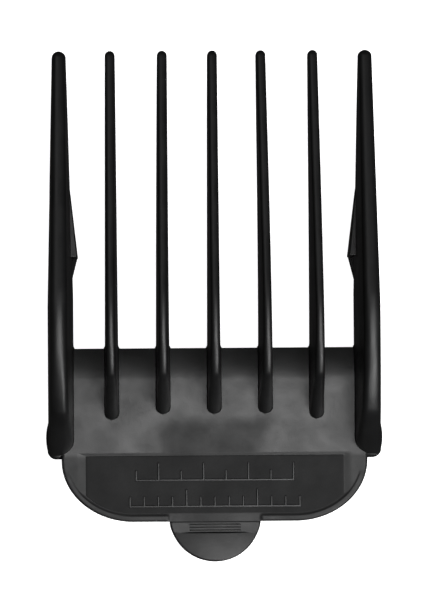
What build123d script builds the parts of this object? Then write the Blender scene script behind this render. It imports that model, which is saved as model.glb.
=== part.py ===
from build123d import *
import os
from math import cos, radians, sin, tan

# Guard comb for a full-size hair clipper, for a cut of 13 mm. All lengths are in millimetres.
# X runs across the comb, +Y towards the tooth tips and +Z towards the skin side.
# The origin is under the middle of the comb, on the surface that it rests on.

# Overall size
tip_y = 38.0
tab_end_y = -38.0
ear_x = 25.0

# Heights
seat_z = 4.6  # face that the clipper's fixed blade lies against
plate_thickness = 1.6
plate_top = seat_z + plate_thickness
crown_z = seat_z + 16.5  # highest line across the teeth

# Blade pocket: a standard blade is 46 wide, about 39 long and 2.4 thick at its edges
pocket_x = 23.3
blade_thickness = 2.4
blade_clearance = 0.1
ledge_thickness = 1.0
ledge_top = seat_z - blade_thickness - blade_clearance
ledge_bottom = ledge_top - ledge_thickness
stop_y = 7.2  # line that the blade's front corners push up against
stop_x = 20.15
stop_height = 2.6  # above the seat
stop_top = seat_z + stop_height
stop_root_depth = 1.0  # how far its upper part reaches in behind the wall
ramp_y = 17.4  # front end of the blade stops
ledge_end_y = 1.5
ledge_end_inset = 0.45
stop_foot_length = 2.4
stop_ramp_height = 1.0

# Teeth
tooth_pitch = 7.6
tooth_count = 5
tooth_root_half = 1.1
tooth_tip_half = 0.76
middle_tooth_rear_y = -16.1
side_tooth_rear_y = -16.9
tooth_draft = 1.3  # degrees
tooth_crown_fillet = 0.55
crown_peak_y = -4.4
crown_front_radius = 20.0
crown_front_angle = 20.0
crown_rear_angle = 40.0
tooth_rear_radius = 10.0
tip_relief_height = 0.4
tip_bottom = seat_z + tip_relief_height
tip_relief_length = 9.0
tip_rounding = 0.85
steep_turn_rounding = 1.6

# Outer teeth, which are also the side walls
arm_outer_x = 24.7
arm_inner_x = 20.85
arm_tip_outer_x = 23.85
arm_tip_inner_x = 21.75
arm_rear_y = -22.2
arm_straight_y = 0.0
arm_draft = 2.6  # degrees
arm_crown_fillet = 0.7
arm_rear_radius = 18.5
arm_rear_corner_radius = 2.4

# Ears outside the rear ends of the side walls
ear_front_y = -17.3
ear_middle_y = -20.0
ear_end_x = 24.8
ear_corner_radius = 1.3
ear_rear_y = -22.75
ear_fillet = 0.35
ear_height = 1.1  # above the seat
ear_top = seat_z + ear_height

# Base plate
front_edge_y = -6.3
front_land = 0.35
slope_top_y = -10.9
rear_edge_y = -32.07
plate_side_x = 22.7
corner_centre_x = 12.0
corner_centre_y = -23.0

# Sunken panel
panel_top_y = -22.1
panel_bottom_y = -31.0
panel_half_width = 19.6
panel_depth = 0.2
rim_height = 0.15
rim_rounding = 0.25
rim_front_y = -24.5

# Release tab and its latch
flex_gap = 0.1
tab_root_y = rear_edge_y - flex_gap
tab_root_half = 6.75
tab_shoulder_y = -34.6
tab_shoulder_half = 5.9
tab_thickness = 1.3
pad_front_y = -33.7
pad_crest_y = -36.0
pad_height = 0.7
pad_inset = 0.3
pad_front_step = 0.3
pad_end_step = 0.1
hook_half_width = 4.0
hook_thickness = 1.2
hook_reach = 0.7
hook_lip_thickness = 0.5
hook_clearance = 0.1
hook_drop = 0.4
hook_bottom = ledge_bottom - hook_drop

grip_rib_count = 3
grip_rib_pitch = 0.42
grip_rib_length = 7.6
grip_rib_width = 0.2
grip_rib_height = 0.18

# Raised size marks: two rows of ticks over base lines, which draw the depth of the cut at an enlarged scale
mark_height = 0.2
mark_scale = 2.1
mark_width = 0.35
mark_length = 1.5
mark_long_length = 2.6
fine_mark_count = 13  # one for each millimetre of the cut
fine_mark_step = 1.0
fine_long_every = 5
fine_base_y = -29.8
coarse_mark_count = 8  # one for each sixteenth of an inch
coarse_mark_step = 25.4 / 16
coarse_long_every = 2
coarse_base_y = -25.9

# Limits that pick out the corners and edges to round
pick_margin = 0.01
tip_zone = 1.0  # length of the end of a tooth
tip_foot_height = 0.8  # above the tip's underside
crown_foot_height = 0.5  # above the plate
across_limit = 0.5  # an edge with more of its direction along X runs across the comb
upright_limit = 0.99  # an edge with more of its direction along Z is upright

cutter = 60.0  # wider than the comb, for cuts that run right through
half_cutter = cutter / 2


def save(builder, label):
    """Name a finished sub-part and write it as a STEP file."""
    builder.part.label = label
    export_step(builder.part, f"parts/{label}.step")


def front_crown_end():
    """Point where the crown's front arc turns into its straight slope to the tip."""
    angle = radians(crown_front_angle)
    y = crown_peak_y + crown_front_radius * sin(angle)
    z = crown_z - crown_front_radius * (1 - cos(angle))
    return y, z


def rear_crown_end(radius):
    """Point where the crown's rear arc turns down into the steep back of the fin."""
    angle = radians(crown_rear_angle)
    return crown_peak_y - radius * sin(angle), crown_z - radius * (1 - cos(angle))


def crown_and_tip(rear_radius):
    """Upper edge of a tooth seen from the side, from its steep back forward and down to its underside."""
    peak = (crown_peak_y, crown_z)
    front = front_crown_end()
    rear = rear_crown_end(rear_radius)
    tip_top = (tip_y, front[1] - (tip_y - front[0]) * tan(radians(crown_front_angle)))
    TangentArc(peak, rear, tangent=(-1, 0))
    TangentArc(peak, front, tangent=(1, 0))
    Polyline(front, tip_top, (tip_y, tip_bottom), (tip_y - tip_relief_length, seat_z))


def tooth_side(rear_y):
    """Closed side outline of a middle tooth. Its root sits on the plate and on the front slope."""
    land = (front_edge_y, seat_z + front_land)
    with BuildSketch(Plane.YZ) as side:
        with BuildLine():
            crown_and_tip(tooth_rear_radius)
            Polyline((tip_y - tip_relief_length, seat_z), (front_edge_y, seat_z), land)
            TangentArc((slope_top_y, plate_top), land, tangent=(1, 0))
            Polyline((slope_top_y, plate_top), (rear_y, plate_top), rear_crown_end(tooth_rear_radius))
        make_face()
        round_profile(side)
    return side.sketch


def arm_side():
    """Closed side outline of an outer tooth, flat underneath from the blade seat to the tip."""
    with BuildSketch(Plane.YZ) as side:
        with BuildLine():
            crown_and_tip(arm_rear_radius)
            rear_foot = (arm_rear_y, plate_top)
            Polyline((tip_y - tip_relief_length, seat_z), (arm_rear_y, seat_z), rear_foot)
            Line(rear_foot, rear_crown_end(arm_rear_radius))
        make_face()
        round_profile(side)
    return side.sketch


def round_profile(side):
    """Round the tip and the turn from the crown into the steep back. Sketch x is the comb's Y."""
    at_tip = side.vertices().filter_by(lambda v: v.X > tip_y - pick_margin)
    fillet(at_tip, radius=tip_rounding)
    behind_peak = side.vertices().filter_by(lambda v: v.X < crown_peak_y - pick_margin)
    steep_turn = behind_peak.sort_by(Axis.Y)[-1]
    fillet(steep_turn, radius=steep_turn_rounding)


def is_crown_edge(edge):
    """True for the edges along both sides of a crown, its steep back and its tip, which are rounded."""
    middle = edge.center()
    along = edge.tangent_at(0.5)
    runs_along = abs(along.X) < across_limit
    if middle.Y > tip_y - tip_zone:
        return runs_along and middle.Z > tip_bottom + tip_foot_height
    return runs_along and middle.Z > plate_top + crown_foot_height and abs(along.Z) < upright_limit


def make_tooth(index):
    """One of the middle teeth: a tall thin fin behind and a slim finger in front."""
    x = (index - (tooth_count + 1) / 2) * tooth_pitch
    at_side = index in (1, tooth_count)
    rear_y = side_tooth_rear_y if at_side else middle_tooth_rear_y
    with BuildPart() as tooth:
        with BuildSketch(Plane.XY.offset(seat_z)):
            with BuildLine():
                Polyline(
                    (x - tooth_root_half, rear_y),
                    (x + tooth_root_half, rear_y),
                    (x + tooth_tip_half, tip_y),
                    (x - tooth_tip_half, tip_y),
                    close=True,
                )
            make_face()
        extrude(amount=crown_z, taper=tooth_draft)
        add(extrude(tooth_side(rear_y), amount=cutter, both=True, mode=Mode.PRIVATE), mode=Mode.INTERSECT)
        fillet(tooth.edges().filter_by(is_crown_edge), radius=tooth_crown_fillet)
    return tooth


def make_arm():
    """The right outer tooth, which is also a side wall of the comb."""
    with BuildPart() as arm:
        with BuildSketch(Plane.XY.offset(seat_z)) as plan:
            with BuildLine():
                Polyline(
                    (arm_inner_x, arm_rear_y),
                    (arm_outer_x, arm_rear_y),
                    (arm_outer_x, arm_straight_y),
                    (arm_tip_outer_x, tip_y),
                    (arm_tip_inner_x, tip_y),
                    (arm_inner_x, ledge_end_y),
                    close=True,
                )
            make_face()
            rear_inner_corner = plan.vertices().group_by(Axis.Y)[0].sort_by(Axis.X)[0]
            fillet(rear_inner_corner, radius=arm_rear_corner_radius)
        extrude(amount=crown_z, taper=arm_draft)
        add(extrude(arm_side(), amount=cutter, both=True, mode=Mode.PRIVATE), mode=Mode.INTERSECT)
        fillet(arm.edges().filter_by(is_crown_edge), radius=arm_crown_fillet)
    return arm


def plate_outline(inset=0.0):
    """Rear half of the comb in plan, with its two large elliptical corners, or a copy of it further in."""
    side_x = plate_side_x - inset
    rear_y = rear_edge_y + inset
    x_radius = side_x - corner_centre_x
    y_radius = corner_centre_y - rear_y
    with BuildSketch() as outline:
        with BuildLine():
            Line((-corner_centre_x, rear_y), (corner_centre_x, rear_y))
            EllipticalCenterArc((corner_centre_x, corner_centre_y), x_radius, y_radius, 270, arc_size=90)
            Polyline(
                (side_x, corner_centre_y),
                (side_x, slope_top_y),
                (-side_x, slope_top_y),
                (-side_x, corner_centre_y),
            )
            EllipticalCenterArc((-corner_centre_x, corner_centre_y), x_radius, y_radius, 180, arc_size=90)
        make_face()
    return outline.sketch


def panel_outline():
    """Sunken panel in plan: straight sides, with rear corners that follow the plate's."""
    with BuildSketch() as outline:
        add(plate_outline(inset=panel_bottom_y - rear_edge_y))
        with Locations((0, (panel_top_y + panel_bottom_y) / 2)):
            Rectangle(2 * panel_half_width, panel_top_y - panel_bottom_y, mode=Mode.INTERSECT)
    return outline.sketch


def arm_outer_at(y):
    """Outer face of the right outer tooth at its foot, forward of its straight part."""
    share = (y - arm_straight_y) / (tip_y - arm_straight_y)
    return arm_outer_x + share * (arm_tip_outer_x - arm_outer_x)


def arm_inner_at(y):
    """Inner face of the right outer tooth at its foot, forward of its straight part."""
    share = (y - ledge_end_y) / (tip_y - ledge_end_y)
    return arm_inner_x + share * (arm_tip_inner_x - arm_inner_x)


def make_skirt():
    """Wall under the right outer tooth that closes the side of the blade pocket."""
    with BuildPart() as skirt:
        with BuildSketch():
            with BuildLine():
                Polyline(
                    (pocket_x, arm_rear_y),
                    (arm_outer_x, arm_rear_y),
                    (arm_outer_x, arm_straight_y),
                    (arm_outer_at(stop_y), stop_y),
                    (pocket_x, stop_y),
                    close=True,
                )
            make_face()
        extrude(amount=seat_z)
    return skirt


def make_stop(arm):
    """Wedge that the blade's right front corner pushes up against, with a ramp in front and below."""
    upper_inner_x = arm_inner_x + stop_root_depth
    with BuildPart() as stop:
        with BuildSketch():
            with BuildLine():
                Polyline(
                    (stop_x, stop_y),
                    (arm_outer_at(stop_y), stop_y),
                    (arm_outer_at(ramp_y), ramp_y),
                    (arm_inner_at(ramp_y), ramp_y),
                    close=True,
                )
            make_face()
        extrude(amount=seat_z)
        with BuildSketch(Plane.XY.offset(seat_z)):
            with BuildLine():
                Polyline(
                    (stop_x, stop_y),
                    (upper_inner_x, stop_y),
                    (upper_inner_x, ramp_y),
                    (arm_inner_at(ramp_y), ramp_y),
                    close=True,
                )
            make_face()
        extrude(amount=stop_top - seat_z)
        with BuildSketch(Plane.YZ):
            with BuildLine():
                Polyline(
                    (stop_y, 0),
                    (stop_y + stop_foot_length, 0),
                    (ramp_y, seat_z),
                    (ramp_y, seat_z + stop_ramp_height),
                    (stop_y, stop_top),
                    close=True,
                )
            make_face()
        extrude(amount=cutter, both=True, mode=Mode.INTERSECT)
        add(arm.part, mode=Mode.SUBTRACT)
    return stop


def make_ledge():
    """Shelf under the blade's right front corner. It tapers back into the side wall."""
    with BuildPart() as ledge:
        with BuildSketch(Plane.XY.offset(ledge_bottom)):
            with BuildLine():
                Polyline(
                    (stop_x, stop_y),
                    (arm_inner_x + ledge_end_inset, ledge_end_y),
                    (pocket_x, ledge_end_y),
                    (pocket_x, stop_y),
                    close=True,
                )
            make_face()
        extrude(amount=ledge_top - ledge_bottom)
    return ledge


def is_ear_rim(edge):
    """True for the ear's outer and rear upper edges, which are rounded, and not for its sides on the comb."""
    middle = edge.center()
    behind = middle.Y < arm_rear_y and middle.X > plate_side_x + ear_fillet / 2
    return middle.X > arm_outer_x or behind


def make_ear(arm, skirt):
    """Low rounded bulge outside the rear end of the right wall."""
    with BuildPart() as ear:
        with BuildSketch() as plan:
            with BuildLine():
                ThreePointArc((arm_outer_x, ear_front_y), (ear_x, ear_middle_y), (ear_end_x, ear_rear_y))
                Polyline(
                    (ear_end_x, ear_rear_y),
                    (plate_side_x, ear_rear_y),
                    (plate_side_x, arm_rear_y),
                    (pocket_x, arm_rear_y),
                    (pocket_x, ear_front_y),
                    (arm_outer_x, ear_front_y),
                )
            make_face()
            rear_outer_corner = plan.vertices().group_by(Axis.Y)[0].sort_by(Axis.X)[-1]
            fillet(rear_outer_corner, radius=ear_corner_radius)
        extrude(amount=ear_top)
        fillet(ear.edges().group_by(Axis.Z)[-1].filter_by(is_ear_rim), radius=ear_fillet)
        add(arm.part, mode=Mode.SUBTRACT)
        add(skirt.part, mode=Mode.SUBTRACT)
    return ear


def make_front_slope(arms):
    """Front lip of the plate, which falls away between the tooth roots to a thin edge."""
    land = (front_edge_y, seat_z + front_land)
    with BuildPart() as slope:
        with BuildSketch(Plane.YZ):
            with BuildLine():
                Polyline((slope_top_y, plate_top), (slope_top_y, seat_z), (front_edge_y, seat_z), land)
                TangentArc((slope_top_y, plate_top), land, tangent=(1, 0))
            make_face()
        extrude(amount=plate_side_x, both=True)
        for arm in arms:
            add(arm.part, mode=Mode.SUBTRACT)
    return slope


def make_base_plate(arms):
    """Flat web behind the teeth, open where the sunken panel sits and low under the rim."""
    with BuildPart() as plate:
        with BuildSketch(Plane.XY.offset(seat_z)):
            add(plate_outline())
        extrude(amount=plate_thickness)
        with BuildSketch(Plane.XY.offset(seat_z)):
            add(panel_outline())
        extrude(amount=plate_thickness, mode=Mode.SUBTRACT)
        with BuildSketch(Plane.XY.offset(plate_top)):
            add(rim_outline())
        extrude(amount=-panel_depth, mode=Mode.SUBTRACT)
        for arm in arms:
            add(arm.part, mode=Mode.SUBTRACT)
    return plate


def rim_outline():
    """Strip round the rear edge and corners of the plate."""
    with BuildSketch() as outline:
        add(plate_outline())
        add(plate_outline(inset=panel_bottom_y - rear_edge_y), mode=Mode.SUBTRACT)
        with Locations((0, rim_front_y - half_cutter)):
            Rectangle(cutter, cutter, mode=Mode.INTERSECT)
    return outline.sketch


def make_panel_rim():
    """Raised beads round both rear corners of the panel. The panel runs on to the tab between them."""
    with BuildPart() as rim:
        with BuildSketch(Plane.XY.offset(plate_top - panel_depth)):
            add(rim_outline())
            with Locations((0, panel_bottom_y)):
                Rectangle(2 * tab_root_half, half_cutter, mode=Mode.SUBTRACT)
        extrude(amount=panel_depth + rim_height)
        fillet(rim.faces().sort_by(Axis.Z)[-1].edges(), radius=rim_rounding)
    return rim


def make_label_panel():
    """Thin floor of the sunken panel."""
    with BuildPart() as panel:
        with BuildSketch(Plane.XY.offset(seat_z)):
            add(panel_outline())
        extrude(amount=plate_thickness - panel_depth)
    return panel


def add_mark_row(count, step, long_every, base_y):
    """Draw one row of ticks over a base line in the current sketch, centred on the comb."""
    pitch = step * mark_scale
    row_length = (count - 1) * pitch
    with Locations((0, base_y)):
        Rectangle(row_length + mark_width, mark_width)
    for number in range(1, count + 1):
        is_long = number % long_every == 0
        length = mark_long_length if is_long else mark_length
        with Locations(((number - 1) * pitch - row_length / 2, base_y + length / 2)):
            Rectangle(mark_width, length)


def make_size_marks():
    """Two rows of plain raised ticks on the panel, in millimetres and in sixteenths of an inch."""
    with BuildPart() as marks:
        with BuildSketch(Plane.XY.offset(plate_top - panel_depth)):
            add_mark_row(fine_mark_count, fine_mark_step, fine_long_every, fine_base_y)
            add_mark_row(coarse_mark_count, coarse_mark_step, coarse_long_every, coarse_base_y)
        extrude(amount=mark_height)
    return marks


def tab_outline():
    """Release tab in plan: slightly tapering sides and one large round end."""
    with BuildSketch() as outline:
        with BuildLine():
            Polyline(
                (-tab_shoulder_half, tab_shoulder_y),
                (-tab_root_half, tab_root_y),
                (tab_root_half, tab_root_y),
                (tab_shoulder_half, tab_shoulder_y),
            )
            ThreePointArc(
                (tab_shoulder_half, tab_shoulder_y), (0, tab_end_y), (-tab_shoulder_half, tab_shoulder_y)
            )
        make_face()
    return outline.sketch


def make_release_tab():
    """Tongue at the rear that the thumb lifts. It bends about a line across its root."""
    with BuildPart() as tab:
        with BuildSketch(Plane.XY.offset(plate_top - tab_thickness)):
            add(tab_outline())
        extrude(amount=tab_thickness)
    return tab


def make_thumb_pad():
    """Crowned pad on the outer part of the tab, with a small step at its front."""
    with BuildPart() as pad:
        with BuildSketch(Plane.XY.offset(plate_top)):
            add(tab_outline())
            offset(amount=-pad_inset)
            with Locations((0, pad_front_y - half_cutter)):
                Rectangle(cutter, cutter, mode=Mode.INTERSECT)
        extrude(amount=2 * pad_height)
        with BuildSketch(Plane.YZ):
            with BuildLine():
                front_step = (pad_front_y, plate_top + pad_front_step)
                end_step = (tab_end_y, plate_top + pad_end_step)
                ThreePointArc(front_step, (pad_crest_y, plate_top + pad_height), end_step)
                Polyline(end_step, (tab_end_y, plate_top), (pad_front_y, plate_top), front_step)
            make_face()
        extrude(amount=cutter, both=True, mode=Mode.INTERSECT)
    return pad


def make_grip_ribs():
    """Fine ribs across the tab, between its root and the pad."""
    middle_y = (tab_root_y + pad_front_y) / 2
    with BuildPart() as ribs:
        with BuildSketch(Plane.XY.offset(plate_top)):
            with Locations((0, middle_y)):
                with GridLocations(1, grip_rib_pitch, 1, grip_rib_count):
                    Rectangle(grip_rib_length, grip_rib_width)
        extrude(amount=grip_rib_height)
    return ribs


def make_latch_hook():
    """Hook under the tab. Its lip reaches forward below the blade's rear edge."""
    front = tab_root_y - hook_clearance
    rear = front - hook_thickness
    tab_bottom = plate_top - tab_thickness
    with BuildPart() as hook:
        with BuildSketch(Plane.YZ):
            with BuildLine():
                Polyline(
                    (front, tab_bottom),
                    (front, ledge_top),
                    (front + hook_reach, ledge_top),
                    (front + hook_reach, ledge_top - hook_lip_thickness),
                    (front, hook_bottom),
                    (rear, hook_bottom),
                    (rear, tab_bottom),
                    close=True,
                )
            make_face()
        extrude(amount=hook_half_width, both=True)
    return hook


def mirrored(builder):
    """The left-hand twin of a right-hand sub-part."""
    with BuildPart() as twin:
        add(mirror(builder.part, about=Plane.YZ, mode=Mode.PRIVATE))
    return twin


os.makedirs("parts", exist_ok=True)

right_arm = make_arm()
right_skirt = make_skirt()
right_stop = make_stop(right_arm)
right_ledge = make_ledge()
right_ear = make_ear(right_arm, right_skirt)
for name, right in (
    ("outer_tooth", right_arm),
    ("side_skirt", right_skirt),
    ("blade_stop", right_stop),
    ("blade_ledge", right_ledge),
    ("side_ear", right_ear),
):
    save(right, name + "_right")
    save(mirrored(right), name + "_left")

both_arms = (right_arm, mirrored(right_arm))
save(make_base_plate(both_arms), "base_plate")
save(make_front_slope(both_arms), "front_slope")
for tooth_index in range(1, tooth_count + 1):
    save(make_tooth(tooth_index), f"tooth_{tooth_index}")

save(make_label_panel(), "label_panel")
save(make_panel_rim(), "panel_rim")
save(make_size_marks(), "size_marks")
save(make_release_tab(), "release_tab")
save(make_thumb_pad(), "thumb_pad")
save(make_grip_ribs(), "grip_ribs")
save(make_latch_hook(), "latch_hook")
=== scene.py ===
import math

import bmesh
import bpy
import numpy as np
from mathutils import Matrix, Vector


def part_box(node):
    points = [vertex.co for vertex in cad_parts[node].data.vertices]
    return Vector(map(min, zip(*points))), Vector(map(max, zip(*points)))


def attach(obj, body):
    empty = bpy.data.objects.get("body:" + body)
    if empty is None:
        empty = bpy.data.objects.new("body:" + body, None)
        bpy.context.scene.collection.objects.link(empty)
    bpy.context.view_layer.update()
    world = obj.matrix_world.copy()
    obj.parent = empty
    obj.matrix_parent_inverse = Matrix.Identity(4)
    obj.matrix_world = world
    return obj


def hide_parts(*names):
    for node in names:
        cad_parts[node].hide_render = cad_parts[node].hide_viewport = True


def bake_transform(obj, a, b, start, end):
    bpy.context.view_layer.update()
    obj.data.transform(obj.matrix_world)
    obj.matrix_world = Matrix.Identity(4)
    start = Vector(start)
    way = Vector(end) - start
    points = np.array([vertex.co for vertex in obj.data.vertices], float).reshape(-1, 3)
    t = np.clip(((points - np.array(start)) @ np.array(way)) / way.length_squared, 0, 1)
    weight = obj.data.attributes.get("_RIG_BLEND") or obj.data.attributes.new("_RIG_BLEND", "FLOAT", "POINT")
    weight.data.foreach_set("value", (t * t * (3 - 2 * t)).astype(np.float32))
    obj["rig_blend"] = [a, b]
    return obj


# Clipper guard comb. The CAD frame gives the places and most of the sizes; this file gives the moulded
# surfaces, the materials, the light and the camera. Shapes are worked out in millimetres.

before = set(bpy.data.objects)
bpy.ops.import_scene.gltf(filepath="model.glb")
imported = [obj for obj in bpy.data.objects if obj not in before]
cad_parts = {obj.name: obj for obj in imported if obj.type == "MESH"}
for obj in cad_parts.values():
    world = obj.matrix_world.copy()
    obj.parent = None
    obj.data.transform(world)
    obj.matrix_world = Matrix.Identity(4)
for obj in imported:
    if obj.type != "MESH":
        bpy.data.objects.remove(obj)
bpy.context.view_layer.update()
MM = 0.001


# ---------------------------------------------------------------- sizes read from the frame

def box_mm(node):
    """Lowest and highest corner of a CAD node, in millimetres."""
    low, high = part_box(node)
    return np.array(low) / MM, np.array(high) / MM


plate_low, plate_high = box_mm("base_plate")
slope_low, slope_high = box_mm("front_slope")
panel_low, panel_high = box_mm("label_panel")
rim_high = box_mm("panel_rim")[1]
tab_low, tab_high = box_mm("release_tab")
pad_high = box_mm("thumb_pad")[1]
arm_low, arm_high = box_mm("outer_tooth_right")

SEAT_Z = plate_low[2]
PLATE_TOP = plate_high[2]
CROWN_Z = arm_high[2]
TIP_Y = arm_high[1]
REAR_EDGE_Y = plate_low[1]
SLOPE_TOP_Y = slope_low[1]
FRONT_EDGE_Y = slope_high[1]
PLATE_SIDE_X = plate_high[0]
CORNER_X, CORNER_Y = 12.0, -23.0  # centre of the plate's elliptical rear corner
PLATE_ROUND = 0.45
FRONT_LAND = 0.35  # thickness left at the plate's front edge
SLOPE_TURN_Y = -11.0  # the steeper front part of the slope starts here
SLOPE_POWER = 1.55
SLOPE_TAIL_Y = -16.0  # the slope's gentle rear part starts here
SLOPE_TAIL_DROP = 0.16
RIM_INSET = panel_low[1] - REAR_EDGE_Y
RIM_HEIGHT = 0.7 * (rim_high[2] - PLATE_TOP)  # a soft rounded rim, so lower than the square one in CAD
RIM_FRONT_Y = rim_high[1]
RIM_FADE, RIM_FRONT_FADE = 0.3, 1.0
RIM_OPENING = tab_high[0]
PANEL_DEPTH = 0.55 * (PLATE_TOP - panel_high[2])  # the moulded step is soft, so it looks shallower
PANEL_BED = 0.06  # how much deeper the recess is than the panel's floor
PANEL_FRONT_Y = panel_high[1]
PANEL_HALF = panel_high[0]
PANEL_REAR_Y = panel_low[1]
PANEL_EDGE = 0.7
PANEL_GAP = 0.15
PANEL_SIDE_SOFTNESS = 0.4  # steepness of its side steps beside that of its front step
WAVE_HEIGHT = 0.012  # unevenness of the moulded plate
PATCH_FRONT_Y, PATCH_FULL_Y = -16.0, -18.4
PATCH_LEFT_FRONT, PATCH_LEFT_REAR = -8.4, -7.4
PATCH_RIGHT_FRONT, PATCH_RIGHT_REAR = 8.1, 6.2
PATCH_FADE = 1.5
PATCH_SINK = 0.03
SHEET_ROUNDING = ((0.0, 0.22), (0.065, 0.065), (0.22, 0.0))  # inset and lift of a sheet's lower edge

# Teeth
CROWN_PEAK_Y = -4.4
CROWN_FRONT_RADIUS = 20.0
CROWN_FRONT_ANGLE = math.radians(20)
CROWN_REAR_ANGLE = math.radians(40)
TOOTH_REAR_RADIUS = 10.0
TOOTH_TIP_HALF = 0.76
TOOTH_DRAFT = math.tan(math.radians(1.3))
TOOTH_SQUARENESS = 0.9
TOOTH_LEAN = (0.0, 0.14, 0.02, -0.33, -0.21)  # sideways set of each finger's tip, as moulded
TIP_BOTTOM = SEAT_Z + 0.4
TIP_RELIEF = 9.0
TIP_HALF_HEIGHT = 0.95
TIP_STATIONS = 2.5  # length at the tip with close sections
TIP_INSET = 0.002
ROOT_FILLET = 0.22
ROOT_SINK = 0.03
EDGE_ROUND = 0.22
FOOT_SOFTNESS = 0.12
TURN_SOFTNESS = 0.5
TURN_END = 1.2  # past the turn into the steep back, sections can be further apart
EDGE_BEFORE, EDGE_AFTER = 0.5, 0.7  # close sections round the plate's front edge
LEAST_HALF = 0.02

# Outer teeth, side walls, stops and ears
ARM_OUTER_X, ARM_INNER_X = 24.7, 20.85
ARM_TIP_OUTER_X, ARM_TIP_INNER_X = 23.85, 21.75
ARM_TIP_ROUND = 0.9
ARM_STRAIGHT_Y = 0.0
ARM_REAR_Y = arm_low[1]
ARM_OUTER_CORNER, ARM_INNER_CORNER = 0.8, 2.4
ARM_REAR_RADIUS = 18.5
ARM_DRAFT = math.tan(math.radians(2.6))
ARM_CROWN_HEIGHT = 1.2
ARM_SQUARENESS = 0.88
RIDGE_SHIFT = 0.45
RIDGE_TURN = (-7.0, -13.0)  # the ridge moves inward between these
SKIRT_ROUND = 0.2
POCKET_X = 23.3
STOP_Y, STOP_FOOT, STOP_RAMP, RAMP_Y = 7.2, 2.4, 1.0, 17.4
STOP_ROUND, LEDGE_ROUND, HOOK_ROUND = 0.22, 0.2, 0.15
LEDGE_END_Y = 1.5
EAR_ROUND = 0.9
EAR_CORNER_RADIUS = 1.3
EAR_MIDDLE_Y = -20.0

# Tab and marks
TAB_END_Y = tab_low[1]
TAB_SHOULDER_Y, TAB_SHOULDER_HALF = -34.6, 5.9
TAB_ROUND = 0.35
TAB_SINK = 0.02
PAD_FRONT_Y, PAD_STEP = pad_high[1], 0.3
PAD_HOLLOW = 0.012  # how fast the pad falls away sideways
MARK_WIDTH, MARK_LENGTH, MARK_LONG_LENGTH, MARK_SCALE = 0.35, 1.5, 2.6, 2.1
FINE_MARKS = (13, 1.0, 5, -29.8)  # ticks, step, every which one is long, y of the base line
COARSE_MARKS = (8, 25.4 / 16, 2, -25.9)
GRIP_RIB_COUNT, GRIP_RIB_WIDTH, GRIP_RIB_SINK = 3, 0.2, 0.03

# Finish and floor
NYLON_BLACK = (0.0045, 0.0046, 0.0048)
PANEL_BLACK = (0.005, 0.0051, 0.0053)
NYLON_IOR = 1.53
PATCH_ROUGHNESS = 0.2
REAR_DULLNESS = 0.8  # share of the patch's extra roughness
CLOUDINESS = 0.025  # extra spread of the plate's roughness
FLOOR_GLOW = 0.95
FLOOR_RADIUS, FLOOR_BEND = 600, 900
WORLD_LIGHT = 0.03


# ---------------------------------------------------------------- mesh helpers

def smoothstep(low, high, value):
    """0 below low, 1 above high, and a smooth rise between them."""
    t = np.clip((value - low) / (high - low), 0, 1)
    return t * t * (3 - 2 * t)


def mesh_object(name, points, faces):
    """A smooth-shaded mesh object from points in millimetres."""
    mesh = bpy.data.meshes.new(name)
    mesh.from_pydata([tuple(p) for p in np.asarray(points) * MM], [], faces)
    mesh.validate()
    mesh.polygons.foreach_set("use_smooth", [True] * len(mesh.polygons))
    made = bpy.data.objects.new(name, mesh)
    bpy.context.scene.collection.objects.link(made)
    return made


def loft(name, rings):
    """A closed skin through rings that all have the same number of points."""
    rings = np.array(rings)
    count, around = rings.shape[0], rings.shape[1]
    points = rings.reshape(-1, 3)
    faces = []
    for i in range(count - 1):
        for j in range(around):
            k = (j + 1) % around
            faces.append((i * around + j, i * around + k, (i + 1) * around + k, (i + 1) * around + j))
    faces.append(tuple(range(around - 1, -1, -1)))
    faces.append(tuple((count - 1) * around + j for j in range(around)))
    made = mesh_object(name, points, faces)
    recalculate_normals(made)
    return made


def recalculate_normals(obj):
    """Weld coincident points and turn all faces outward."""
    mesh = bmesh.new()
    mesh.from_mesh(obj.data)
    bmesh.ops.remove_doubles(mesh, verts=mesh.verts, dist=0.002 * MM)
    bmesh.ops.dissolve_degenerate(mesh, edges=mesh.edges, dist=0.001 * MM)
    bmesh.ops.recalc_face_normals(mesh, faces=mesh.faces)
    mesh.to_mesh(obj.data)
    mesh.free()


def softened(node, width):
    """A copy of a plain CAD node with its sharp edges rounded off, as a moulding has them."""
    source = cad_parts[node]
    made = bpy.data.objects.new(node + "_skin", source.data.copy())
    bpy.context.scene.collection.objects.link(made)
    recalculate_normals(made)
    planar = made.modifiers.new("planar", "DECIMATE")
    planar.decimate_type = "DISSOLVE"
    planar.angle_limit = math.radians(1)
    bevel = made.modifiers.new("bevel", "BEVEL")
    bevel.width = width * MM
    bevel.segments = 3
    bevel.limit_method = "ANGLE"
    bevel.angle_limit = math.radians(28)
    apply_modifiers(made)
    made.data.polygons.foreach_set("use_smooth", [True] * len(made.data.polygons))
    keep_flats(made)
    return made


def keep_flats(obj):
    """Weighted normals, so that large flat faces stay flat beside their rounded edges."""
    modifier = obj.modifiers.new("weighted", "WEIGHTED_NORMAL")
    modifier.weight = 100


def apply_modifiers(obj):
    """Replace the object's mesh by what its modifiers make of it."""
    graph = bpy.context.evaluated_depsgraph_get()
    done = bpy.data.meshes.new_from_object(obj.evaluated_get(graph))
    obj.modifiers.clear()
    obj.data = done


# ---------------------------------------------------------------- shape of the teeth

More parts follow.
